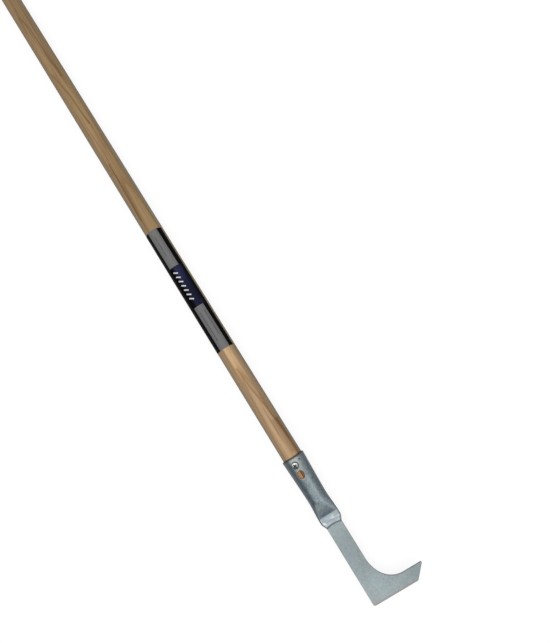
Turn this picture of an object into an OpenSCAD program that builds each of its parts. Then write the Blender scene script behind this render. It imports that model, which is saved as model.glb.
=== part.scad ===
// Long-handled crack weeder: a hooked flat blade held in a pressed sheet socket on a round wooden shaft.
// It lies flat, +Z up, with the shaft along +X and the hook pointing to -Y.
// The origin is on the shaft's axis at the socket's mouth, where the shaft starts to taper, and every depth
// into the head is counted from there.

/* [Shaft] */
// Diameter of the round wooden shaft
shaft_d = 28; // [24:0.5:30]
// Length of the shaft that stands out of the socket
shaft_out = 1330; // [700:10:1700]
// Length of the tapered end that sits in the socket
shaft_in = 60; // [40:1:62]
// Least slope of the tapered end, in degrees
draft = 1; // [0.5:0.1:2]
// Rounding of the shaft's free end
end_round = 6; // [2:0.5:10]

/* [Socket barrel] */
// Distance from the start of the shaft's taper back to the socket's rim
rim_at = 0.5; // [0.3:0.1:2]
// Outer diameter at the mouth
mouth_d = 32.3; // [32:0.1:34]
// Outer diameter where the barrel runs into the ramp
neck_d = 27.2; // [26:0.1:30]
// Length of the tapered barrel
barrel_l = 63.5; // [63:0.5:80]
// Curve of the taper: 1 is a straight cone, more gathers it near the mouth
flare = 1.35; // [1:0.05:2]
// Thickness of the sheet
wall = 1.5; // [1.2:0.1:2]
// Width of the butt seam under the barrel
seam_w = 0.6; // [0.4:0.1:1]
// Length of the butt seam
seam_l = 60; // [20:1:62]

/* [Socket's pressed end] */
// Length of the ramp from the round barrel to the flat
ramp_l = 22.2; // [18:0.2:30]
// Length of the flat band at full width
flat_l = 8; // [6:0.2:12]
// Width of the flat band
flat_w = 30.1; // [28:0.1:34]
// Length of the shoulders that narrow to the lip
shoulder_l = 6.7; // [5:0.1:10]
// Width of the lip
lip_w = 23.6; // [23.6:0.1:26]
// Radius of the hollow curve in the lip
lip_bow_r = 34; // [25:1:60]

/* [Blade] */
// Thickness of the blade
blade_t = 3; // [2.5:0.1:4]
// Width of the straight strip
strip_w = 22.5; // [20:0.1:22.6]
// Distance from the socket's mouth to the working edge
head_l = 209.2; // [200:0.2:260]
// Reach of the hook, from the strip's back edge to its point, before the point is rounded
hook_reach = 82.6; // [75:0.2:110]
// Depth of the hook, from its inner edge to the working edge
hook_h = 17.2; // [14:0.2:24]
// Length of the inner curve along the strip
curve_l = 36; // [34:1:40]
// Length of the inner curve along the hook
curve_w = 32; // [30:1:34]
// Radius of the inner curve's flatter half
curve_r = 42; // [42:1:60]
// Rounding of the hook's point
tip_r = 1; // [0.5:0.1:2]
// Rounding of the corner between the point's slant and the working edge
nose_r = 4; // [1:0.5:8]
// Rounding of the corner behind the hook
heel_r = 3; // [1:0.5:6]
// Depth of the tang inside the socket
tang_in = 19.5; // [12:0.5:22]

/* [Screw and holes] */
// Diameter of the screw's pan head
screw_head_d = 9.4; // [8:0.2:12]
// Height of the screw's head
screw_head_h = 3; // [2:0.1:4]
// Rounding of the head's rim
screw_rim_r = 1.4; // [0.5:0.1:1.8]
// Diameter of the screw's shank
screw_d = 5; // [4:0.1:6]
// Length of the screw's shank
screw_l = 24; // [16:1:26]
// Width of each slot in the cross recess
recess_w = 1.4; // [0.8:0.1:1.6]
// Length of each slot in the cross recess
recess_l = 5.8; // [4:0.1:6.4]
// Depth of the cross recess
recess_h = 1.7; // [1:0.1:1.9]
// Turn of the cross recess
recess_turn = 20; // [0:5:90]
// Depth of the screw from the mouth
screw_at = 10; // [8:0.2:12]
// Depth of the empty hole's centre from the mouth
oval_at = 23.7; // [23:0.1:34]
// Width of the empty hole
oval_w = 9.8; // [7:0.1:11]
// Length of the empty hole along the barrel
oval_l = 12; // [11.2:0.1:14]
// Diameter of the small punched pit
pit_d = 1.8; // [1:0.1:3]
// Depth of the pit from the mouth
pit_at = 5.6; // [4:0.1:12]
// Turn of the pit round the barrel, towards the hook
pit_turn = 32; // [20:1:60]

/* [Label] */
// Length of the label
label_l = 205; // [100:0.5:250]
// Width of the label, measured round the shaft
label_w = 36; // [20:0.5:40]
// Thickness of the label
label_t = 0.15; // [0.1:0.01:0.3]
// Distance from the socket's mouth to the label
label_at = 172; // [40:1:400]

/* [Clearances] */
// Gap round the tapered end of the shaft
taper_gap = 0.15; // [0.1:0.05:0.3]
// Gap round the blade's tang
tang_gap = 0.1; // [0.05:0.05:0.2]
// Gap round the screw's shank in the socket
screw_gap = 0.25; // [0.1:0.05:0.5]
// Gap round the screw's shank in the wood
pilot_gap = 0.05; // [0.02:0.01:0.1]
// Gap under the screw's head
head_gap = 0.03; // [0.02:0.01:0.1]
// Gap between the label and the wood
label_gap = 0.02; // [0.01:0.01:0.05]

/* [Hidden] */
$fn = 96;
pill_fn = 32;
slice = 0.01;
neck_step = 0.15;
over = 1;
taper_steps = 8;

shaft_r = shaft_d / 2;
mouth_r = mouth_d / 2;
neck_r = neck_d / 2;
screw_r = screw_d / 2;
head_r = screw_head_d / 2;

ramp_end = barrel_l + ramp_l;
flat_end = ramp_end + flat_l;
lip_at = flat_end + shoulder_l;

slot_h = blade_t + 2 * tang_gap;
slot_w = strip_w + 2 * tang_gap;
flat_h = slot_h + 2 * wall;

inner_edge = -head_l + hook_h;
back_y = strip_w / 2;
tip_y = back_y - hook_reach;
curve_end_r = (2 * curve_r * curve_w - curve_l * curve_l - curve_w * curve_w) / (2 * (curve_r - curve_l));
curve_c1 = [inner_edge + curve_l, -back_y - curve_r];
curve_c2 = [inner_edge + curve_end_r, -back_y - curve_w];

screw_seat = barrel_r(screw_at - head_r) + head_gap;
label_r = shaft_r + label_gap;
label_turn = label_w / label_r * 180 / PI;

// Outer radius of the barrel at a depth from the mouth
function barrel_r(depth) = neck_r + (mouth_r - neck_r) * pow(1 - min(depth, barrel_l) / barrel_l, flare);

// Profile of the barrel's outside drawn in by a skin, from the rim to the ramp, as radius and depth
function barrel_profile(skin) = [for (i = [0:taper_steps])
    let(depth = rim_at + (barrel_l - rim_at) * i / taper_steps) [barrel_r(depth) - skin, depth]];

// Solid of revolution whose depth runs from the mouth into the head
module into_head() {
    rotate([0, -90, 0]) rotate_extrude() children();
}

// Round end of a flattened section: two thin discs, for a hull
module pill(depth, width, height) {
    for (side = [-1, 1])
        translate([-depth, side * (width - height) / 2, 0])
            rotate([0, 90, 0]) cylinder(h = slice, d = height, $fn = pill_fn);
}

// Round end of the ramp, for a hull: it starts a little way into the barrel, a fine step inside its wall
module neck_disc(r) {
    translate([over - barrel_l, 0, 0]) rotate([0, 90, 0]) cylinder(h = slice, r = r - neck_step, $fn = 2 * pill_fn);
}

// Straight hole with round ends, long the way of the shaft, through the top of the barrel
module oval_hole(depth, width, length) {
    flat = length - width;
    translate([-depth, 0, 0]) {
        for (side = [-1, 1])
            translate([side * flat / 2, 0, 0]) cylinder(h = mouth_d, d = width);
        translate([-flat / 2, -width / 2, 0]) cube([flat, width, mouth_d]);
    }
}

module socket_outside() {
    into_head() polygon(concat([[0, rim_at]], barrel_profile(0), [[0, barrel_l]]));
    hull() {
        neck_disc(neck_r);
        pill(ramp_end, flat_w, flat_h);
    }
    hull() {
        pill(ramp_end, flat_w, flat_h);
        pill(flat_end, flat_w, flat_h);
    }
    hull() {
        pill(flat_end, flat_w, flat_h);
        pill(lip_at, lip_w, flat_h);
    }
}

module socket_inside() {
    into_head() polygon(concat(
        [[0, -over], [barrel_r(rim_at) - wall, -over]],
        barrel_profile(wall),
        [[0, barrel_l]]));
    hull() {
        neck_disc(neck_r - wall);
        translate([-ramp_end, -slot_w / 2, -slot_h / 2]) cube([slice, slot_w, slot_h]);
    }
    translate([-lip_at - over, -slot_w / 2, -slot_h / 2])
        cube([lip_at - ramp_end + 2 * over, slot_w, slot_h]);
}

// Pressed sheet socket: tapered barrel, flat ramps above and below, and a flattened end with a hollow lip
module socket() {
    bow = lip_bow_r - sqrt(pow(lip_bow_r, 2) - pow(lip_w / 2, 2));
    color("slategray") difference() {
        socket_outside();
        socket_inside();
        translate([-lip_at + bow - lip_bow_r, 0, -flat_h]) cylinder(h = 2 * flat_h, r = lip_bow_r);
        translate([-screw_at, 0, 0]) cylinder(h = mouth_d, r = screw_r + screw_gap);
        oval_hole(oval_at, oval_w, oval_l);
        rotate([pit_turn, 0, 0]) translate([-pit_at, 0, barrel_r(pit_at) - wall / 3]) cylinder(h = wall, d = pit_d);
        translate([-seam_l, -seam_w / 2, -mouth_d]) cube([seam_l + over, seam_w, mouth_d]);
    }
}

// Outline of the hook's inner curve: a flatter arc beside the strip runs smoothly into a tighter one
module curve_gap() {
    aim = (curve_c2 - curve_c1) / norm(curve_c2 - curve_c1);
    intersection() {
        translate(curve_c1) circle(r = curve_r);
        polygon([
            curve_c1,
            curve_c1 + aim * (curve_r + over),
            [curve_c1.x + over, -back_y + over],
            [curve_c1.x + over, curve_c1.y]]);
    }
    translate(curve_c2) circle(r = curve_end_r);
}

// What a rounding takes off a corner, given the directions in which its two edges leave it.
// Its point stands out past the corner, so that no sliver is left along the edges.
module corner_waste(corner, edge_a, edge_b, r) {
    half_angle = acos(edge_a * edge_b) / 2;
    side = r / tan(half_angle);
    middle = (edge_a + edge_b) / norm(edge_a + edge_b);
    centre = corner + middle * r / sin(half_angle);
    difference() {
        polygon([corner - middle * over, corner + edge_a * side, centre, corner + edge_b * side]);
        translate(centre) circle(r = r);
    }
}

// The hook's point is cut on a slant of 45 degrees
module blade_outline() {
    slant = [1, -1] / sqrt(2);
    tip = [inner_edge, tip_y];
    nose = [-head_l, tip_y + hook_h];
    heel = [-head_l, back_y];
    difference() {
        union() {
            translate([-head_l, -back_y]) square([head_l - lip_at + tang_in, strip_w]);
            polygon([tip, [inner_edge, back_y], heel, nose]);
            difference() {
                translate([inner_edge, -back_y - curve_w]) square([curve_l, curve_w]);
                curve_gap();
            }
        }
        corner_waste(tip, [0, 1], -slant, tip_r);
        corner_waste(nose, [0, 1], slant, nose_r);
        corner_waste(heel, [0, -1], [1, 0], heel_r);
    }
}

// Flat hooked blade and its tang
module blade() {
    color("lightsteelblue") translate([0, 0, -blade_t / 2]) linear_extrude(blade_t) blade_outline();
}

// Round wooden shaft: its tapered end follows the inside of the barrel
module shaft() {
    taper = [for (i = [1:taper_steps])
        let(depth = shaft_in * i / taper_steps)
            [min(shaft_r - depth * tan(draft), barrel_r(depth) - wall - taper_gap), -depth]];
    color("burlywood") difference() {
        rotate([0, 90, 0]) rotate_extrude() difference() {
            polygon(concat(
                [[0, shaft_out], [shaft_r, shaft_out], [shaft_r, 0]],
                taper,
                [[0, -shaft_in]]));
            translate([shaft_r - end_round, shaft_out - end_round]) difference() {
                square(end_round + over);
                circle(r = end_round);
            }
        }
        translate([-screw_at, 0, screw_seat - screw_l - over]) cylinder(h = screw_l + over, r = screw_r + pilot_gap);
    }
}

// Pan-head screw that pins the shaft in the barrel
module screw() {
    color("silver") translate([-screw_at, 0, screw_seat]) difference() {
        union() {
            rotate_extrude() {
                square([head_r, screw_head_h - screw_rim_r]);
                square([head_r - screw_rim_r, screw_head_h]);
                translate([head_r - screw_rim_r, screw_head_h - screw_rim_r]) circle(r = screw_rim_r);
            }
            translate([0, 0, -screw_l]) cylinder(h = screw_l + over, r = screw_r);
        }
        for (side = [0, 90])
            rotate([0, 0, recess_turn + side])
                translate([-recess_l / 2, -recess_w / 2, screw_head_h - recess_h])
                    cube([recess_l, recess_w, recess_h + over]);
    }
}

// Plain wrap-round label on the front of the shaft
module label() {
    color("dimgray") translate([label_at, 0, 0]) rotate([0, 90, 0]) rotate([0, 0, 180 - label_turn / 2])
        rotate_extrude(angle = label_turn) translate([label_r, 0]) square([label_t, label_l]);
}

shaft();
socket();
blade();
screw();
label();
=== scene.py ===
"""A long-handled crack weeder, dressed for a studio picture.

The tool lies flat, with its shaft along +X and its hook towards -Y. The solids come from model.glb, and each
piece here takes its place from them and has their sizes. Lengths are in metres.
"""

import logging
import math
from dataclasses import dataclass, field, replace
from enum import Enum
from typing import Callable, Iterable, Sequence

import bmesh
import bpy
from mathutils import Matrix, Vector


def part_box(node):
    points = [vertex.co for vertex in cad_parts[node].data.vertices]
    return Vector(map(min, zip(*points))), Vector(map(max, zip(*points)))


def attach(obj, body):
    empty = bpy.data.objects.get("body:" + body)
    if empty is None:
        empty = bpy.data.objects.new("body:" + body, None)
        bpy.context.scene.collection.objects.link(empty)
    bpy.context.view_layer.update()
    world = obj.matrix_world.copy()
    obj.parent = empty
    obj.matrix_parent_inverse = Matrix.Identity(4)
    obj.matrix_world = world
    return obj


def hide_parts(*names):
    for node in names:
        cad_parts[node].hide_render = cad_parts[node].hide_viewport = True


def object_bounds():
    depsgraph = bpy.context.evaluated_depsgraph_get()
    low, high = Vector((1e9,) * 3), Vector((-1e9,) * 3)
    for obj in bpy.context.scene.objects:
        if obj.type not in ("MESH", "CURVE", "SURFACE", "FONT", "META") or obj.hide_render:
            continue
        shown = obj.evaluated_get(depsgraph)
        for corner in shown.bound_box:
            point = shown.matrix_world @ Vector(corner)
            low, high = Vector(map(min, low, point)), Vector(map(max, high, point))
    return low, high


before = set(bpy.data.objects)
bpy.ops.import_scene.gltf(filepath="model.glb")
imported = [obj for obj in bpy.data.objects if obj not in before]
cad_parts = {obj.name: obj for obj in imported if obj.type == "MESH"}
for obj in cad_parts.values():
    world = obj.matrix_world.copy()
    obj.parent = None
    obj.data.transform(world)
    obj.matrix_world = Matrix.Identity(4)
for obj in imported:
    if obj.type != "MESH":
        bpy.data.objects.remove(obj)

LOG = logging.getLogger("crack_weeder")
CAD_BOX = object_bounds()
MM = 0.001
IMAGE_LONG_SIDE = 643
SHARP_ANGLE = math.radians(32)
LARGE_FACE = 1e-4
WELD = 1e-6
CUTTER_SIDES = 64

Colour = tuple[float, float, float]
Triple = tuple[float, float, float]
Point = tuple[float, float]
NodeSocket = bpy.types.NodeSocket

# Where a value starts and ends, and for a fade also the levels that it has there.
Span = tuple[float, float]
Fade = tuple[float, float, float, float]

# Where a band starts and ends, and how far each way its ends are blurred.
Band = tuple[float, float, float]


class Slot(Enum):
    """The material slots."""

    WOOD = "wood"
    SHEET = "sheet_steel"
    BLADE = "blade_steel"
    SCREW = "screw_steel"
    LABEL = "label"


def srgb(red: int, green: int, blue: int) -> Colour:
    """Turn a colour of 0 to 255 into the linear colour that a shader takes.

    Args:
        red: Red, from 0 to 255.
        green: Green, from 0 to 255.
        blue: Blue, from 0 to 255.

    Returns:
        The linear colour.
    """

    def linear(value: float) -> float:
        """Undo the display curve for one channel."""
        return value / 12.92 if value <= 0.04045 else ((value + 0.055) / 1.055) ** 2.4

    return linear(red / 255), linear(green / 255), linear(blue / 255)


# Patterns and marks


@dataclass(frozen=True)
class Pattern:
    """A noise that is laid over a piece.

    Attributes:
        per_metre: Pattern units for each metre, along X, Y and Z.
        shift: Which part of the pattern is used.
        detail: How many finer layers it has.
        roughness: How strong the finer layers are.
        distortion: How much it is twisted.
    """

    per_metre: Triple
    shift: Triple = (0, 0, 0)
    detail: float = 3
    roughness: float = 0.5
    distortion: float = 0


@dataclass(frozen=True)
class Mark:
    """A soft line on a surface, straight or bent.

    Attributes:
        points: Its ends and its bends.
        half: Half of its width.
        blur: How far each way its outline is blurred.
        share: How strongly it shows.
    """

    points: tuple[Point, ...]
    half: float
    blur: float
    share: float = 1.0

    def legs(self) -> list["Mark"]:
        """Return each straight stretch as a mark of its own."""
        return [replace(self, points=ends) for ends in zip(self.points, self.points[1:])]

    def mirrored(self) -> "Mark":
        """Return the same mark on the other side of the shaft's axis."""
        return replace(self, points=tuple((x, -y) for x, y in self.points))


# Node graphs


class Graph:
    """A short way to write a material's node tree.

    Its x runs along the shaft, its y across it and its z upwards.
    """

    def __init__(self, name: str) -> None:
        """Start a material that holds one Principled shader.

        Args:
            name: The material's name.
        """
        self.material = bpy.data.materials.new(name)
        self.material.use_nodes = True
        self.tree = self.material.node_tree
        self.tree.nodes.clear()
        self.shader = self.tree.nodes.new("ShaderNodeBsdfPrincipled")
        output = self.tree.nodes.new("ShaderNodeOutputMaterial")
        self.link(self.shader.outputs["BSDF"], output.inputs["Surface"])
        self.place = self.tree.nodes.new("ShaderNodeTexCoord").outputs["Object"]
        self.x, self.y, self.z = self.axes(self.place)

    def link(self, source: NodeSocket, target: NodeSocket) -> None:
        """Join two sockets."""
        self.tree.links.new(source, target)

    def feed(self, target: NodeSocket, value: object) -> None:
        """Link a socket into a target, or set the target's own value.

        Args:
            target: The input to feed.
            value: A socket, a number or a colour, or None to leave the target as it is.
        """
        if isinstance(value, bpy.types.NodeSocket):
            self.link(value, target)
        elif value is not None:
            target.default_value = (*value, 1.0) if target.type == "RGBA" and len(value) == 3 else value

    def math(self, operation: str, first: object, second: object = None, third: object = None) -> NodeSocket:
        """Add a Math node.

        Args:
            operation: The node's operation, such as MULTIPLY.
            first: The first value or socket.
            second: The second value or socket.
            third: The third value or socket.

        Returns:
            The result's socket.
        """
        node = self.tree.nodes.new("ShaderNodeMath")
        node.operation = operation
        for target, value in zip(node.inputs, (first, second, third)):
            self.feed(target, value)
        return node.outputs[0]

    def plus(self, first: object, second: object) -> NodeSocket:
        """Add two values."""
        return self.math("ADD", first, second)

    def times(self, first: object, *others: object) -> NodeSocket:
        """Multiply values.

        Args:
            first: The first value or socket.
            *others: What it is multiplied by.

        Returns:
            The product's socket, or the first value alone where there are no others.
        """
        product = first
        for value in others:
            product = self.math("MULTIPLY", product, value)
        return product

    def line(self, value: object, slope: object, start: object) -> NodeSocket:
        """Return a value times a slope, plus a start."""
        return self.math("MULTIPLY_ADD", value, slope, start)

    def blend(self, share: object, first: object, second: object) -> NodeSocket:
        """Return a value between two others: the first at a share of 0, the second at 1."""
        return self.line(share, self.math("SUBTRACT", second, first), first)

    def axes(self, vector: NodeSocket) -> tuple[NodeSocket, NodeSocket, NodeSocket]:
        """Split a vector.

        Args:
            vector: The vector's socket.

        Returns:
            The sockets of its three parts.
        """
        node = self.tree.nodes.new("ShaderNodeSeparateXYZ")
        self.link(vector, node.inputs[0])
        return node.outputs[0], node.outputs[1], node.outputs[2]

    def join(self, x: object, y: object, z: object) -> NodeSocket:
        """Make a vector.

        Args:
            x: Its first part.
            y: Its second part.
            z: Its third part.

        Returns:
            The vector's socket.
        """
        node = self.tree.nodes.new("ShaderNodeCombineXYZ")
        for target, value in zip(node.inputs, (x, y, z)):
            self.feed(target, value)
        return node.outputs[0]

    def length(self, x: object, y: object) -> NodeSocket:
        """Measure how far a point lies from the centre.

        Args:
            x: The point's first coordinate.
            y: Its second coordinate.

        Returns:
            The distance's socket.
        """
        node = self.tree.nodes.new("ShaderNodeVectorMath")
        node.operation = "LENGTH"
        self.link(self.join(x, y, 0.0), node.inputs[0])
        return node.outputs["Value"]

    def stretch(self, pattern: Pattern) -> NodeSocket:
        """Scale and shift the object's coordinates for a pattern.

        Args:
            pattern: The pattern that they go into.

        Returns:
            The scaled vector's socket.
        """
        node = self.tree.nodes.new("ShaderNodeMapping")
        node.vector_type = "POINT"
        self.link(self.place, node.inputs["Vector"])
        node.inputs["Scale"].default_value = pattern.per_metre
        node.inputs["Location"].default_value = pattern.shift
        return node.outputs[0]

    def noise(self, pattern: Pattern) -> NodeSocket:
        """Lay a Noise Texture over the object.

        Args:
            pattern: Its sizes and settings.

        Returns:
            The socket of its value, which goes from about 0.2 to 0.8.
        """
        node = self.tree.nodes.new("ShaderNodeTexNoise")
        self.link(self.stretch(pattern), node.inputs["Vector"])
        settings = {"Scale": 1, "Detail": pattern.detail, "Roughness": pattern.roughness,
                    "Distortion": pattern.distortion}
        for name, value in settings.items():
            node.inputs[name].default_value = value
        return node.outputs["Fac"]

    def cells(self, pattern: Pattern) -> NodeSocket:
        """Lay a smooth Voronoi Texture over the object.

        Args:
            pattern: Its sizes; the other settings are a noise's own.

        Returns:
            The socket of the distance to the middle of each cell.
        """
        node = self.tree.nodes.new("ShaderNodeTexVoronoi")
        node.feature = "SMOOTH_F1"
        self.link(self.stretch(pattern), node.inputs["Vector"])
        node.inputs["Scale"].default_value = 1
        return node.outputs["Distance"]

    def step(self, value: NodeSocket, low: float, high: float, to_low: float = 0,
             to_high: float = 1) -> NodeSocket:
        """Map a value smoothly from one range to another, and hold it past the ends.

        Args:
            value: The value's socket.
            low: Where the change starts.
            high: Where it ends, which may be the smaller of the two.
            to_low: The result up to the start.
            to_high: The result past the end.

        Returns:
            The result's socket.
        """
        node = self.tree.nodes.new("ShaderNodeMapRange")
        node.interpolation_type = "SMOOTHSTEP"
        settings = {"From Min": low, "From Max": high, "To Min": to_low, "To Max": to_high}
        for name, number in settings.items():
            node.inputs[name].default_value = number
        self.link(value, node.inputs["Value"])
        return node.outputs["Result"]

    def between(self, value: NodeSocket, low: float, high: float, blur: float) -> NodeSocket:
        """Return a mask that is 1 between two values, with soft ends."""
        rising = self.step(value, low - blur, low + blur)
        return self.times(rising, self.step(value, high + blur, high - blur))

    def trail(self, mark: Mark, x: NodeSocket, y: NodeSocket) -> NodeSocket:
        """Return the mask of a soft line.

        Args:
            mark: The line.
            x: The first coordinate.
            y: The second coordinate.

        Returns:
            The mask's socket, which is the mark's share along its middle.
        """
        mask = None
        for start, end in zip(mark.points, mark.points[1:]):
            span = Vector(end) - Vector(start)
            way = span.normalized()
            along = self.line(x, way.x, self.line(y, way.y, -way.dot(Vector(start))))
            off = self.line(x, -way.y, self.line(y, way.x, way.y * start[0] - way.x * start[1]))
            leg = self.times(self.between(along, 0, span.length, mark.blur),
                             self.between(off, -mark.half, mark.half, mark.blur))
            mask = leg if mask is None else self.math("MAXIMUM", mask, leg)
        return self.times(mask, mark.share)

    def ramp(self, value: NodeSocket, stops: Iterable[tuple[float, Colour]]) -> NodeSocket:
        """Turn a value into a colour with a Color Ramp.

        Args:
            value: The value, from 0 to 1.
            stops: Positions and their linear colours, in order.

        Returns:
            The colour's socket.
        """
        node = self.tree.nodes.new("ShaderNodeValToRGB")
        points = list(stops)
        while len(node.color_ramp.elements) < len(points):
            node.color_ramp.elements.new(0.5)
        for element, (position, colour) in zip(node.color_ramp.elements, points):
            element.position = position
            element.color = (*colour, 1.0)
        self.link(value, node.inputs[0])
        return node.outputs[0]

    def mix(self, amount: object, first: object, second: object, mode: str = "MIX") -> NodeSocket:
        """Mix two colours.

        Args:
            amount: How much of the second shows, from 0 to 1.
            first: The first colour.
            second: The second colour.
            mode: The way they mix, such as MIX or MULTIPLY.

        Returns:
            The colour's socket.
        """
        node = self.tree.nodes.new("ShaderNodeMix")
        node.data_type = "RGBA"
        node.blend_type = mode
        self.feed(node.inputs["Factor"], amount)
        self.feed(node.inputs[6], first)
        self.feed(node.inputs[7], second)
        return node.outputs[2]

    def paint(self, under: object, over: object, *masks: object) -> NodeSocket:
        """Lay one colour over another where all the masks show."""
        return self.mix(self.times(*masks), under, over)

    def draw(self, under: object, over: object, mark: Mark, across: NodeSocket | None = None) -> NodeSocket:
        """Draw a mark over a colour; its coordinate across the shaft is plain unless another is given."""
        return self.paint(under, over, self.trail(mark, self.x, self.y if across is None else across))

    def level(self, colour: object, share: NodeSocket) -> NodeSocket:
        """Multiply a colour by a value."""
        return self.mix(1.0, colour, self.join(share, share, share), "MULTIPLY")

    def facing(self) -> NodeSocket:
        """Measure how far a surface turns away.

        Returns:
            The socket of a value that is 0 where it faces the eye and rises to 1 where it turns away.
        """
        node = self.tree.nodes.new("ShaderNodeLayerWeight")
        node.inputs["Blend"].default_value = 0.5
        return node.outputs["Facing"]

    def bump(self, height: NodeSocket, distance: float, strength: float) -> NodeSocket:
        """Add a Bump node.

        Args:
            height: The height, from 0 to 1.
            distance: The real height of 1, in metres.
            strength: How much of it shows.

        Returns:
            The normal's socket.
        """
        node = self.tree.nodes.new("ShaderNodeBump")
        node.inputs["Distance"].default_value = distance
        node.inputs["Strength"].default_value = strength
        self.link(height, node.inputs["Height"])
        return node.outputs[0]

    def finish(self, **inputs: object) -> bpy.types.Material:
        """Feed the shader and close the material.

        Args:
            **inputs: What each of the shader's inputs gets, named with underscores.

        Returns:
            The material.
        """
        for name, value in inputs.items():
            self.feed(self.shader.inputs[name.replace("_", " ")], value)
        return self.material


# Finishes


@dataclass(frozen=True)
class SocketPlan:
    """The sizes that the pressed socket and its plating share; places count from its mouth."""

    barrel: float = 63.5 * MM
    ramp_end: float = 85.7 * MM
    screw_at: float = 10 * MM
    oval_at: float = 23.7 * MM
    oval_w: float = 9.8 * MM
    oval_l: float = 12 * MM
    bow_r: float = 34 * MM


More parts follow.
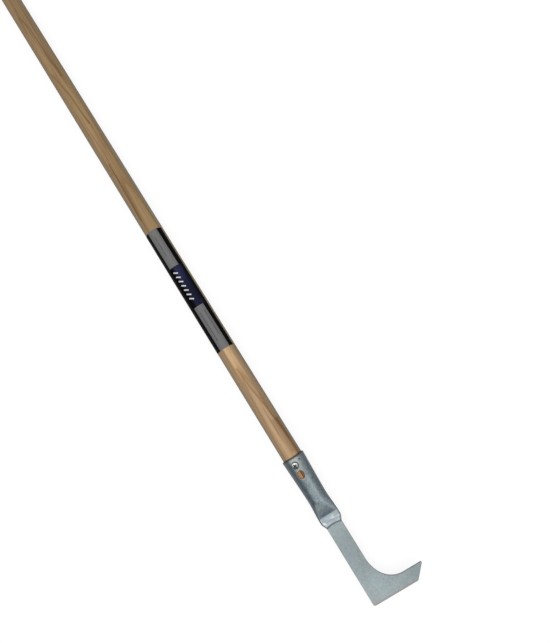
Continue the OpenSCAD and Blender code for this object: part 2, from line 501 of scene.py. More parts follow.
@dataclass(frozen=True)
class AshWood:
    """Sanded ash: growth rings that the shaft cuts lengthways, long fibres and short dark pores."""

    pale: Colour = srgb(199, 167, 130)
    tan: Colour = srgb(183, 151, 114)
    brown: Colour = srgb(146, 113, 78)
    dark: Colour = srgb(108, 78, 50)
    vein: Colour = srgb(128, 88, 52)
    red: Colour = srgb(122, 82, 52)
    # Painted shade for the edges that turn away from the eye: olive near the head, browner further on.
    rim: Colour = srgb(152, 143, 124)
    far_rim: Colour = srgb(150, 128, 98)
    # A painted shadow on the wood at the socket's mouth.
    mouth_shadow: Colour = srgb(62, 58, 42)
    check: Colour = srgb(78, 50, 28)
    far_tint: Colour = (0.65, 0.625, 0.53)
    # Painted shade for the wood inside the socket.
    covered: Colour = (0.72, 0.65, 0.66)

    # Growth rings, round a pith that the shaft leaves at a small angle.
    ring: float = 4.6 * MM
    ring_places: tuple[float, ...] = (0.0, 0.07, 0.3, 0.66, 0.86, 1.0)
    pith: Point = (14 * MM, -56 * MM)
    runout: float = -0.026
    wander: float = 2.6 * MM
    wander_y: Pattern = Pattern((2.6, 2, 2), detail=2)
    wander_z: Pattern = Pattern((3.4, 2, 2), (9.1, 4.2, 1.7), detail=2)
    waver: Pattern = Pattern((7, 90, 90), (3, 3, 3))
    waver_share: float = 0.3
    calm: float = 0.45

    # Streaks, fibres, hairs, patches and pores of the plain wood.
    streaks: Pattern = Pattern((5, 170, 170), (1, 7, 2), roughness=0.55)
    streaks_brown: Fade = (0.5, 0.74, 0, 0.6)
    streaks_pale: Fade = (0.46, 0.26, 0, 0.5)
    fibres: Pattern = Pattern((12, 820, 820), detail=5, roughness=0.62)
    fibres_level: Fade = (0.25, 0.75, 0.87, 1.12)
    hairs: Pattern = Pattern((8, 560, 560), (4, 4, 9), detail=2)
    hairs_dark: Fade = (0.6, 0.72, 0, 0.45)
    patches: Pattern = Pattern((4.5, 18, 18), (2, 8, 6), detail=2)
    patches_level: Fade = (0.25, 0.75, 0.93, 1.07)
    pores: Pattern = Pattern((110, 3400, 3400), (5, 5, 5), detail=2)
    pores_open: Span = (0.6, 0.7)
    pores_in_ring: Fade = (0.35, 0.05, 0.15, 0.85)
    pores_dark: float = 0.5

    sway: Pattern = Pattern((30, 30, 30), (5, 2, 8))
    sway_by: float = 2 * MM
    main_vein: Mark = Mark(((140 * MM, -0.9 * MM), (112 * MM, -2.9 * MM), (70 * MM, -7.8 * MM),
                            (22 * MM, -11.9 * MM)), 0.8 * MM, 1.3 * MM, 0.76)
    short_vein: Mark = Mark(((56 * MM, -5.4 * MM), (6 * MM, -6.6 * MM)), 1.1 * MM, 1.9 * MM, 0.55)
    pale_streak: Mark = Mark(((160 * MM, -6.2 * MM), (96 * MM, -8.8 * MM)), 0.9 * MM, 1.8 * MM, 0.6)
    red_streak: Mark = Mark(((56 * MM, -10.6 * MM), (-5 * MM, -12.0 * MM)), 2.2 * MM, 1.8 * MM, 0.6)
    hole_check: Mark = Mark(((-31 * MM, -1.5 * MM), (-16 * MM, -1.0 * MM)), 0.7 * MM, 0.6 * MM, 0.95)

    # Threads, veins and lights of the part further along the shaft.
    far_along: Span = (170 * MM, 390 * MM)
    threads: Pattern = Pattern((7, 330, 330), (6, 2, 9), detail=4, roughness=0.65)
    threads_dark: Fade = (0.52, 0.64, 0, 0.62)
    threads_pale: Fade = (0.48, 0.36, 0, 0.8)
    far_veins: tuple[Mark, ...] = tuple(Mark(points, 1.1 * MM, 1.4 * MM, 0.68) for points in (
        ((580 * MM, -5 * MM), (640 * MM, -2.4 * MM), (666 * MM, 1.4 * MM), (690 * MM, 5 * MM)),
        ((678 * MM, -6.6 * MM), (716 * MM, -4.9 * MM), (785 * MM, -3.4 * MM), (814 * MM, 2.2 * MM)),
        ((778 * MM, 5 * MM), (832 * MM, 0.5 * MM)),
        ((398 * MM, 4.7 * MM), (466 * MM, 3.2 * MM), (505 * MM, 1.7 * MM))))
    far_lights: tuple[Mark, ...] = tuple(Mark(points, 0.9 * MM, 1.4 * MM, 0.8) for points in (
        ((575 * MM, -8 * MM), (650 * MM, -5.3 * MM), (705 * MM, -1.6 * MM), (732 * MM, 1 * MM)),
        ((418 * MM, 6.6 * MM), (486 * MM, 5.2 * MM))))

    # Light and shade along the shaft and round it.
    plain_level: float = 0.8
    # A painted highlight on the crown near the head, where the shaft faces the eye.
    crown: Fade = (0, 0.11, 1, 0)
    crown_lift: float = 0.17
    golden: Fade = (0, 0.16, 1, 0)
    highlight_along: Band = (128 * MM, 185 * MM, 24 * MM)
    highlight_lift: float = 0.35
    far_side: Span = (-22 * MM, -24.5 * MM)
    far_lean: float = -0.026
    far_dim: Fade = (610 * MM, 700 * MM, 0, -0.1)
    rim_turn: Fade = (0.16, 0.82, 0, 0.88)
    rim_along: Fade = (-10 * MM, 60 * MM, 0.8, 1)
    far_rim_along: Span = (400 * MM, 700 * MM)
    mouth_shadow_along: Fade = (1.9 * MM, 0.5 * MM, 0, 0.85)
    covered_along: Span = (-8 * MM, -12 * MM)
    covered_shade: Fade = (0.4 * MM, -2.6 * MM, 0, 0.65)

    # Gloss and relief.
    smoothest: float = 0.45
    coarser: float = 0.25
    relief: float = 0.06 * MM
    relief_share: float = 0.7
    fibre_height: float = 0.6
    specular: float = 0.2

    def rings(self, g: Graph) -> NodeSocket:
        """Return how far through its growth ring each point lies, from 0 to 1.

        Args:
            g: The graph to add to.

        Returns:
            The share of the ring.
        """
        pith_y, pith_z = self.pith
        off_y = g.plus(g.y, g.line(g.noise(self.wander_y), self.wander * 2, -pith_y - self.wander))
        drift = g.line(g.noise(self.wander_z), self.wander * 2, -pith_z - self.wander)
        off_z = g.plus(g.line(g.x, self.runout, g.z), drift)
        count = g.math("DIVIDE", g.length(off_y, off_z), self.ring)
        return g.math("FRACT", g.line(g.noise(self.waver), self.waver_share, count))

    def grain(self, g: Graph, ring: NodeSocket, fibre: NodeSocket) -> NodeSocket:
        """Return the plain wood's colour.

        Args:
            g: The graph to add to.
            ring: The share of the growth ring.
            fibre: The fibres' pattern.

        Returns:
            The colour's socket.
        """
        tones = (self.brown, self.tan, self.pale, self.pale, self.tan, self.brown)
        colour = g.paint(g.ramp(ring, zip(self.ring_places, tones)), self.tan, self.calm)
        streak = g.noise(self.streaks)
        colour = g.paint(colour, self.brown, g.step(streak, *self.streaks_brown))
        colour = g.paint(colour, self.pale, g.step(streak, *self.streaks_pale))
        colour = g.level(colour, g.step(fibre, *self.fibres_level))
        colour = g.paint(colour, self.dark, g.step(g.noise(self.hairs), *self.hairs_dark))
        return g.level(colour, g.step(g.noise(self.patches), *self.patches_level))

    def veins(self, g: Graph, far: NodeSocket, colour: NodeSocket) -> NodeSocket:
        """Draw the veins and streaks near the socket, then the threads, lights and veins further on.

        Args:
            g: The graph to add to.
            far: The mask of the part further along the shaft.
            colour: The colour so far.

        Returns:
            The colour with them.
        """
        sway = g.line(g.noise(self.sway), self.sway_by, g.plus(g.y, -self.sway_by / 2))
        for leg in self.main_vein.legs():
            colour = g.draw(colour, self.vein, leg, sway)
        colour = g.draw(colour, self.vein, self.short_vein, sway)
        colour = g.draw(colour, self.pale, self.pale_streak, sway)
        thread = g.noise(self.threads)
        colour = g.paint(colour, self.vein, g.step(thread, *self.threads_dark), far)
        colour = g.paint(colour, self.pale, g.step(thread, *self.threads_pale), far)
        for mark in self.far_lights:
            colour = g.draw(colour, self.pale, mark, sway)
        for mark in self.far_veins:
            colour = g.draw(colour, self.vein, mark, sway)
        return g.draw(colour, self.red, self.red_streak, sway)

    def shading(self, g: Graph, far: NodeSocket, turned: NodeSocket) -> NodeSocket:
        """Paint a highlight on the crown of the shaft near the head, and darken the hook's side far from it.

        Args:
            g: The graph to add to.
            far: The mask of the part further along the shaft.
            turned: How far the surface turns away.

        Returns:
            The level's socket.
        """
        # Painted highlight on the crown, brighter still over a stretch near the head.
        crown = g.line(g.step(turned, *self.crown), self.crown_lift, self.plain_level)
        golden = g.times(g.step(turned, *self.golden), g.between(g.x, *self.highlight_along), self.highlight_lift)
        hook_side = g.step(g.line(g.x, self.far_lean, g.y), *self.far_side)
        dim = g.times(hook_side, g.step(g.x, *self.far_dim))
        return g.blend(far, g.plus(crown, golden), g.plus(dim, 1.0))

    def under_the_socket(self, g: Graph, plain: NodeSocket) -> NodeSocket:
        """Colour the part that shows through the socket's hole, darkened by painted shade, with a check along
        it.

        Args:
            g: The graph to add to.
            plain: The plain wood's colour.

        Returns:
            The colour's socket.
        """
        hole_shaded = g.mix(1.0, plain, self.covered, "MULTIPLY")
        hole_shaded = g.paint(hole_shaded, self.dark, g.step(g.y, *self.covered_shade))
        return g.draw(hole_shaded, self.check, self.hole_check)

    def build(self) -> bpy.types.Material:
        """Make the material.

        Returns:
            The material.
        """
        g = Graph("ash_wood")
        turned = g.facing()
        far = g.step(g.x, *self.far_along)
        ring = self.rings(g)
        fibre = g.noise(self.fibres)
        plain = self.grain(g, ring, fibre)
        pores = g.times(g.step(g.noise(self.pores), *self.pores_open), g.step(ring, *self.pores_in_ring))
        colour = self.veins(g, far, g.paint(plain, self.dark, pores, self.pores_dark))
        colour = g.level(colour, self.shading(g, far, turned))
        # Darker and yellower further along the shaft.
        colour = g.paint(colour, g.mix(1.0, colour, self.far_tint, "MULTIPLY"), far)
        # Painted shade at the edges that turn away from the eye.
        rim = g.paint(self.rim, self.far_rim, g.step(g.x, *self.far_rim_along))
        colour = g.paint(colour, rim, g.step(turned, *self.rim_turn), g.step(g.x, *self.rim_along))
        # Painted shadow on the wood just outside the socket's mouth.
        colour = g.paint(colour, self.mouth_shadow, g.step(g.x, *self.mouth_shadow_along))
        colour = g.paint(colour, self.under_the_socket(g, plain), g.step(g.x, *self.covered_along))
        height = g.math("SUBTRACT", g.times(fibre, self.fibre_height), pores)
        rough = g.line(fibre, self.coarser, self.smoothest)
        normal = g.bump(height, self.relief, self.relief_share)
        return g.finish(Base_Color=colour, Roughness=rough, Normal=normal, Specular_IOR_Level=self.specular)


@dataclass(frozen=True)
class ZincPlate:
    """Dull zinc plating on steel: a fine mottle, cloudy patches, cool and warm tints."""

    name: str = "zinc_plate"
    tone: Colour = srgb(150, 162, 164)
    dull: Colour = srgb(131, 143, 147)
    warm: Colour = srgb(155, 155, 149)
    cool: Colour = srgb(140, 154, 166)
    metallic: float = 0.5
    roughness: float = 0.45
    roughness_swing: float = 0.2
    fine: Pattern = Pattern((420, 420, 420), detail=4, roughness=0.65)
    fine_range: Span = (0.27, 0.73)
    mottle: float = 0.11
    pitting: float = 0.04 * MM
    pitting_share: float = 0.8
    spangle: Pattern = Pattern((330, 330, 330), (2, 1, 4))
    spangle_range: Span = (0.1, 0.9)
    speckle: float = 0.06
    clouds: Pattern = Pattern((26, 42, 42), (7, 1, 3))
    clouds_dull: Fade = (0.3, 0.75, 0, 0.55)
    tints: Pattern = Pattern((95, 95, 95), (1, 9, 5), detail=2)
    tints_warm: Fade = (0.52, 0.74, 0, 0.4)
    tints_cool: Fade = (0.48, 0.28, 0, 0.4)
    lip: float = -98.4 * MM
    plan: SocketPlan = SocketPlan()

    def coat(self, g: Graph) -> tuple[NodeSocket, NodeSocket, NodeSocket]:
        """Lay the plain plating.

        Args:
            g: The graph to add to.

        Returns:
            The colour, the roughness and the normal.
        """
        fine = g.noise(self.fine)
        tint = g.noise(self.tints)
        colour = g.paint(self.tone, self.dull, g.step(g.noise(self.clouds), *self.clouds_dull))
        colour = g.paint(colour, self.warm, g.step(tint, *self.tints_warm))
        colour = g.paint(colour, self.cool, g.step(tint, *self.tints_cool))
        colour = g.level(colour, g.step(fine, *self.fine_range, 1 - self.mottle, 1 + self.mottle))
        spangle = g.step(g.cells(self.spangle), *self.spangle_range, 1 + self.speckle, 1 - self.speckle)
        rough = g.line(fine, self.roughness_swing, self.roughness - self.roughness_swing / 2)
        return g.level(colour, spangle), rough, g.bump(fine, self.pitting, self.pitting_share)

    def from_lip(self, g: Graph) -> NodeSocket:
        """Return the distance from the socket's bowed lip: above 0 on the socket, below 0 on the blade."""
        bow = g.times(g.y, g.times(g.y, 1 / (2 * self.plan.bow_r)))
        return g.plus(g.plus(g.x, bow), -self.lip)


@dataclass(frozen=True)
class BladeZinc(ZincPlate):
    """The blade's plating: paler at the heel, rubbed warm along the end, with a painted shadow where it
    enters the socket.
    """

    name: str = "blade_zinc"
    lip_shadow: Colour = srgb(62, 74, 82)
    rubbed: Colour = srgb(150, 142, 136)
    edge: Colour = srgb(120, 124, 126)
    plain_level: float = 0.93
    heel_along: Span = (-160 * MM, -185 * MM)
    heel_across: Span = (-50 * MM, 0)
    heel_lift: float = 0.18
    throat: Span = (-122 * MM, -104 * MM)
    throat_lift: float = 0.1
    point: Span = (-44 * MM, -68 * MM)
    point_lift: float = -0.07
    end: float = -209.2 * MM
    nibbles: Pattern = Pattern((260, 260, 260), (4, 4, 4))
    nibbled: float = 0.9 * MM
    wear_and_highlight: Fade = (3.8 * MM, 1.4 * MM, 0, 0.8)
    corner_along: Span = (14 * MM, 3 * MM)
    corner_across: Fade = (-6 * MM, 8 * MM, 0, 0.4)
    edge_turn: Fade = (0.12, 0.5, 0, 0.7)
    lip_shadow_fade: Fade = (-2.6 * MM, -0.4 * MM, 0, 0.85)

    def build(self) -> bpy.types.Material:
        """Make the material.

        Returns:
            The material.
        """
        g = Graph(self.name)
        colour, rough, normal = self.coat(g)
        heel = g.times(g.step(g.x, *self.heel_along), g.step(g.y, *self.heel_across))
        throat = g.times(g.step(g.x, *self.throat), self.throat_lift)
        point = g.line(g.step(g.y, *self.point), self.point_lift, throat)
        colour = g.level(colour, g.plus(g.line(heel, self.heel_lift, self.plain_level), point))
        from_end = g.plus(g.line(g.noise(self.nibbles), self.nibbled, g.x), -self.end)
        corner = g.times(g.step(from_end, *self.corner_along), g.step(g.y, *self.corner_across))
        wear_and_highlight = g.math("MAXIMUM", g.step(from_end, *self.wear_and_highlight), corner)
        colour = g.paint(colour, self.rubbed, wear_and_highlight)
        # Painted shade on the rounded edges that turn away from the eye.
        colour = g.paint(colour, self.edge, g.step(g.facing(), *self.edge_turn))
        # Painted shadow on the blade just below the socket's lip.
        colour = g.paint(colour, self.lip_shadow, g.step(self.from_lip(g), *self.lip_shadow_fade))
        return g.finish(Base_Color=colour, Roughness=rough, Normal=normal, Metallic=self.metallic)


@dataclass(frozen=True)
class SocketZinc(ZincPlate):
    """The socket's plating: the pressed band is rubbed bright and carries painted highlights and glints,
    painted shade darkens the ramp's foot and the sides, and a painted highlight lies near the mouth.
    """

    name: str = "socket_zinc"
    tone: Colour = srgb(130, 142, 145)
    dull: Colour = srgb(117, 129, 133)
    warm: Colour = srgb(138, 146, 140)
    cool: Colour = srgb(122, 137, 152)
    mottle: float = 0.31
    speckle: float = 0.12
    band_low: Colour = srgb(143, 155, 161)
    band_mid: Colour = srgb(163, 175, 181)
    band_high: Colour = srgb(202, 210, 214)
    band_lit: Colour = srgb(186, 196, 200)
    lip_shade: Colour = srgb(126, 140, 147)
    streak: Colour = srgb(155, 168, 177)
    glint: Colour = srgb(240, 244, 244)
    wear_and_highlight: Colour = srgb(163, 170, 167)
    shade: Colour = srgb(84, 97, 105)
    foot_shade: Colour = srgb(92, 107, 121)
    cut_edge: Colour = srgb(184, 165, 146)
    deep_shade: Colour = srgb(34, 39, 40)
    olive: Colour = srgb(78, 80, 66)

    # A painted highlight at the mouth, and a painted highlight and a painted shade along the barrel.
    wobble: Pattern = Pattern((60, 60, 60), (8, 2, 6))
    mouth_fray: float = 14 * MM
    mouth_along: Span = (-20 * MM, 4 * MM)
    mouth_across: Fade = (-12 * MM, -4 * MM, 0.2, 1)
    rim_fray: float = 3 * MM
    rim_along: Fade = (-0.9 * MM, 0.9 * MM, 0, 0.65)
    lit_line: Mark = Mark(((-72 * MM, -5.4 * MM), (-28 * MM, -5.8 * MM)), 1.4 * MM, 2.6 * MM, 0.75)
    dim_line: Mark = Mark(((-46 * MM, 2.6 * MM), (-31 * MM, 2.2 * MM)), 2.6 * MM, 3 * MM, 0.6)

    # Sides that are turned away from the light.
    side_fray: float = 0.07
    light_aside: float = 8.0
    barrel_side: Fade = (0.09, 0.31, 0, 0.93)
    band_side: Fade = (0.18, 0.44, 0, 0.9)
    ramp_lean: float = 0.14
    lean_along: Span = (-2 * MM, 6 * MM)
    blotches: Pattern = Pattern((150, 150, 150), (2, 6, 1))
    blotches_level: Fade = (0.3, 0.7, 0.84, 1.2)

    # Painted shade on the foot of the ramp, inside a V with straight legs, and a painted highlight beside the
    # legs.
    leg_slope: float = 0.6
    leg_fray: float = 2.4 * MM
    inside_legs: Span = (3.2 * MM, -0.6 * MM)
    ramp_level: Fade = (-6 * MM, 8 * MM, 1, 1.36)
    foot_from: float = 7 * MM
    foot_share: float = 0.72
    foot_aside: Fade = (4 * MM, 12 * MM, 1, 0.55)
    beside_legs: Band = (1.6 * MM, 4.4 * MM, 2.2 * MM)
    beside_along: Span = (0, 12.5 * MM)
    beside_share: float = 0.3

    # The pressed band and its lip, with painted highlights, painted shade and painted glints.
    band_from: Span = (0.3 * MM, -0.5 * MM)
    band_share: float = 0.92
    crumple: Pattern = Pattern((230, 70, 150), (3, 7, 2), detail=5, roughness=0.6, distortion=0.4)
    crumple_places: Triple = (0.36, 0.52, 0.7)
    rolled: Band = (1.9 * MM, 4.2 * MM, 1.1 * MM)
    rolled_fray: Fade = (0.34, 0.56, 0.35, 1)
    lip_dark: Fade = (1.7 * MM, 0.4 * MM, 0, 0.85)
    crease: Mark = Mark(((-94.6 * MM, 13.4 * MM), (-99.4 * MM, 9.9 * MM)), 0.35 * MM, 0.5 * MM, 0.7)
    glints: tuple[Mark, ...] = (
        Mark(((-95.0 * MM, 8.2 * MM), (-92.6 * MM, 11.3 * MM)), 0.6 * MM, 0.6 * MM),
        Mark(((-91.4 * MM, 12.0 * MM), (-86.3 * MM, 11.9 * MM)), 0.4 * MM, 0.35 * MM, 0.6),
        Mark(((-96 * MM, -8.6 * MM), (-92.4 * MM, -12.6 * MM)), 0.5 * MM, 0.5 * MM, 0.18))
    glint_fray: Fade = (0.3, 0.55, 0.35, 1)

    # The empty hole, the screw's head and the pit.
    above: Span = (4 * MM, 6 * MM)
    cut_rim: Fade = (0.9 * MM, 0.2 * MM, 0, 0.7)
    head_r: float = 4.7 * MM
    head_shade: Fade = (0.8 * MM, 0, 0, 0.55)
    pit: Point = (-5.6 * MM, -8.5 * MM)
    pit_tilt: float = 1.18
    pit_shade: Fade = (1.5 * MM, 0.7 * MM, 0, 0.92)

    def sides(self, g: Graph, past: NodeSocket, wobble: NodeSocket, on_band: NodeSocket) -> NodeSocket:
        """Return how dark each place is for turning away from the light.

        Args:
            g: The graph to add to.
            past: The distance past the barrel's end.
            wobble: A coarse pattern that frays the outline.
            on_band: The mask of the bright band.

        Returns:
            The mask's socket.
        """
        turned = g.line(wobble, self.side_fray, g.facing())
        from_light = g.line(g.y, self.light_aside, turned)
        lean = g.step(past, *self.lean_along)
        away = g.math("SUBTRACT", g.blend(lean, from_light, turned), g.times(lean, self.ramp_lean))
        return g.blend(on_band, g.step(away, *self.barrel_side), g.step(from_light, *self.band_side))

    def ramp_marks(self, g: Graph, past: NodeSocket, wobble: NodeSocket, colour: NodeSocket) -> NodeSocket:
        """Paint shade on the foot of the ramp inside its V, and a highlight along each leg of the V.

        Args:
            g: The graph to add to.
            past: The distance past the barrel's end.
            wobble: A coarse pattern that frays the outline.
            colour: The colour so far.

        Returns:
            The colour with them.
        """
        aside = g.math("ABSOLUTE", g.y)
        from_leg = g.math("SUBTRACT", g.line(wobble, self.leg_fray, aside), g.times(past, self.leg_slope))
        ramp_l = self.plan.ramp_end - self.plan.barrel
        deep = g.step(past, self.foot_from, ramp_l, 0, self.foot_share)
        inside = g.step(from_leg, *self.inside_legs)
        # Painted light that brightens the ramp past the barrel's end.
        colour = g.level(colour, g.step(past, *self.ramp_level))
        # Painted shade on the ramp's foot inside the V.
        colour = g.paint(colour, self.foot_shade, inside, deep, g.step(aside, *self.foot_aside))
        # A painted highlight beside each leg of the V.
        beside = g.between(from_leg, *self.beside_legs)
        return g.paint(colour, self.streak, beside, g.step(past, *self.beside_along), self.beside_share)

    def band_marks(self, g: Graph, on_band: NodeSocket, colour: NodeSocket) -> NodeSocket:
        """Give the band its rubbed brightness with painted highlights, paint shade along its lip and in its
        creases, and lay its painted glints.

        Args:
            g: The graph to add to.
            on_band: The mask of the bright band.
            colour: The colour so far.

        Returns:
            The colour with them.
        """
        crumple = g.noise(self.crumple)
        # The band's own rubbed brightness, with painted highlights on its crumples.
        plate = g.ramp(crumple, zip(self.crumple_places, (self.band_low, self.band_mid, self.band_high)))
        from_lip = self.from_lip(g)
        rolled = g.between(from_lip, *self.rolled)
        # A painted highlight on the rolled strip below the lip.
        plate = g.paint(plate, self.band_lit, rolled, g.step(crumple, *self.rolled_fray))
        # Painted shade along the lip and in the creases.
        plate = g.paint(plate, self.lip_shade, g.step(from_lip, *self.lip_dark))
        for crease in (self.crease.mirrored(), self.crease):
            plate = g.draw(plate, self.foot_shade, crease)
        colour = g.paint(colour, plate, on_band, self.band_share)
        lit = 0.0
        for mark in self.glints:
            lit = g.plus(lit, g.trail(mark, g.x, g.y))
        return g.paint(colour, self.glint, lit, g.step(crumple, *self.glint_fray))

    def hole_marks(self, g: Graph, colour: NodeSocket) -> NodeSocket:
        """Mark the cut edge of the empty hole, and paint the shadow round the screw's head and the shade in
        the pit.

        Args:
            g: The graph to add to.
            colour: The colour so far.

        Returns:
            The colour with them.
        """
        above = g.step(g.z, *self.above)
        oval_r = self.plan.oval_w / 2
        off = g.math("ABSOLUTE", g.plus(g.x, self.plan.oval_at))
        along = g.math("MAXIMUM", g.plus(off, oval_r - self.plan.oval_l / 2), 0.0)
        from_oval = g.plus(g.length(along, g.y), -oval_r)
        colour = g.paint(colour, self.cut_edge, g.step(from_oval, *self.cut_rim), above)
        # Painted shadow round the screw's head.
        from_head = g.plus(g.length(g.plus(g.x, self.plan.screw_at), g.y), -self.head_r)
        colour = g.paint(colour, self.deep_shade, g.step(from_head, *self.head_shade), above)
        # Painted shade in the pit.
        pit_x, pit_y = self.pit
        from_pit = g.length(g.plus(g.x, -pit_x), g.line(g.y, self.pit_tilt, -self.pit_tilt * pit_y))
        return g.paint(colour, self.deep_shade, g.step(from_pit, *self.pit_shade), above)

    def build(self) -> bpy.types.Material:
        """Make the material.

        Returns:
            The material.
        """
        g = Graph(self.name)
        colour, rough, normal = self.coat(g)
        wobble = g.noise(self.wobble)
        past = g.line(g.x, -1.0, -self.plan.barrel)
        on_band = g.step(g.plus(g.x, self.plan.ramp_end), *self.band_from)
        # A painted highlight on the flare near the mouth, weaker on the hook's side.
        mouth = g.step(g.line(wobble, self.mouth_fray, g.x), *self.mouth_along)
        colour = g.paint(colour, self.wear_and_highlight, mouth, g.step(g.y, *self.mouth_across))
        # A painted highlight and a painted shade along the barrel.
        colour = g.draw(colour, self.streak, self.lit_line)
        colour = g.draw(colour, self.shade, self.dim_line)
        colour = self.ramp_marks(g, past, wobble, colour)
        colour = self.band_marks(g, on_band, colour)
        shade = g.level(self.shade, g.step(g.noise(self.blotches), *self.blotches_level))
        colour = g.paint(colour, shade, self.sides(g, past, wobble, on_band))
        colour = self.hole_marks(g, colour)
        colour = g.paint(colour, self.olive, g.step(g.line(wobble, self.rim_fray, g.x), *self.rim_along))
        return g.finish(Base_Color=colour, Roughness=rough, Normal=normal, Metallic=self.metallic)


@dataclass(frozen=True)
class ScrewZinc(ZincPlate):
    """Bright plating for the screw, with a painted highlight on the side towards the light, and painted shade
    in the recess, on the rim and on the side away from the light.
    """

    name: str = "bright_zinc"
    tone: Colour = srgb(140, 145, 142)
    dull: Colour = srgb(118, 122, 120)
    metallic: float = 0.6
    roughness: float = 0.3
    lit: Colour = srgb(232, 236, 232)
    deep_shade: Colour = srgb(20, 23, 23)
    rim: Colour = srgb(84, 90, 90)
    at: Point = (0.0, 0.0)
    top: float = 0.0
    light_slope: float = -0.35
    lit_side: Fade = (0.4 * MM, 2.6 * MM, 0, 0.9)
    dark_side: Fade = (-0.6 * MM, -2.8 * MM, 0, 0.85)
    flat_r: float = 3.25 * MM
    rim_from: Fade = (0.2 * MM, 1.1 * MM, 0, 0.85)
    recess_within: Span = (0.1 * MM, -0.1 * MM)
    recess_below: Span = (-0.2 * MM, -0.45 * MM)

    def build(self) -> bpy.types.Material:
        """Make the material.

        Returns:
            The material.
        """
        g = Graph(self.name)
        colour, rough, normal = self.coat(g)
        off_x, off_y = g.plus(g.x, -self.at[0]), g.plus(g.y, -self.at[1])
        light = g.line(off_y, self.light_slope, off_x)
        # Painted highlight and painted shade across the head, by where the light comes from.
        colour = g.paint(colour, self.lit, g.step(light, *self.lit_side))
        colour = g.paint(colour, self.deep_shade, g.step(light, *self.dark_side))
        past_flat = g.plus(g.length(off_x, off_y), -self.flat_r)
        # Painted shade on the head's rounded rim.
        colour = g.paint(colour, self.rim, g.step(past_flat, *self.rim_from))
        # Painted shade in the recess.
        sunk = g.step(g.plus(g.z, -self.top), *self.recess_below)
        colour = g.paint(colour, self.deep_shade, sunk, g.step(past_flat, *self.recess_within))
        return g.finish(Base_Color=colour, Roughness=rough, Normal=normal, Metallic=self.metallic)


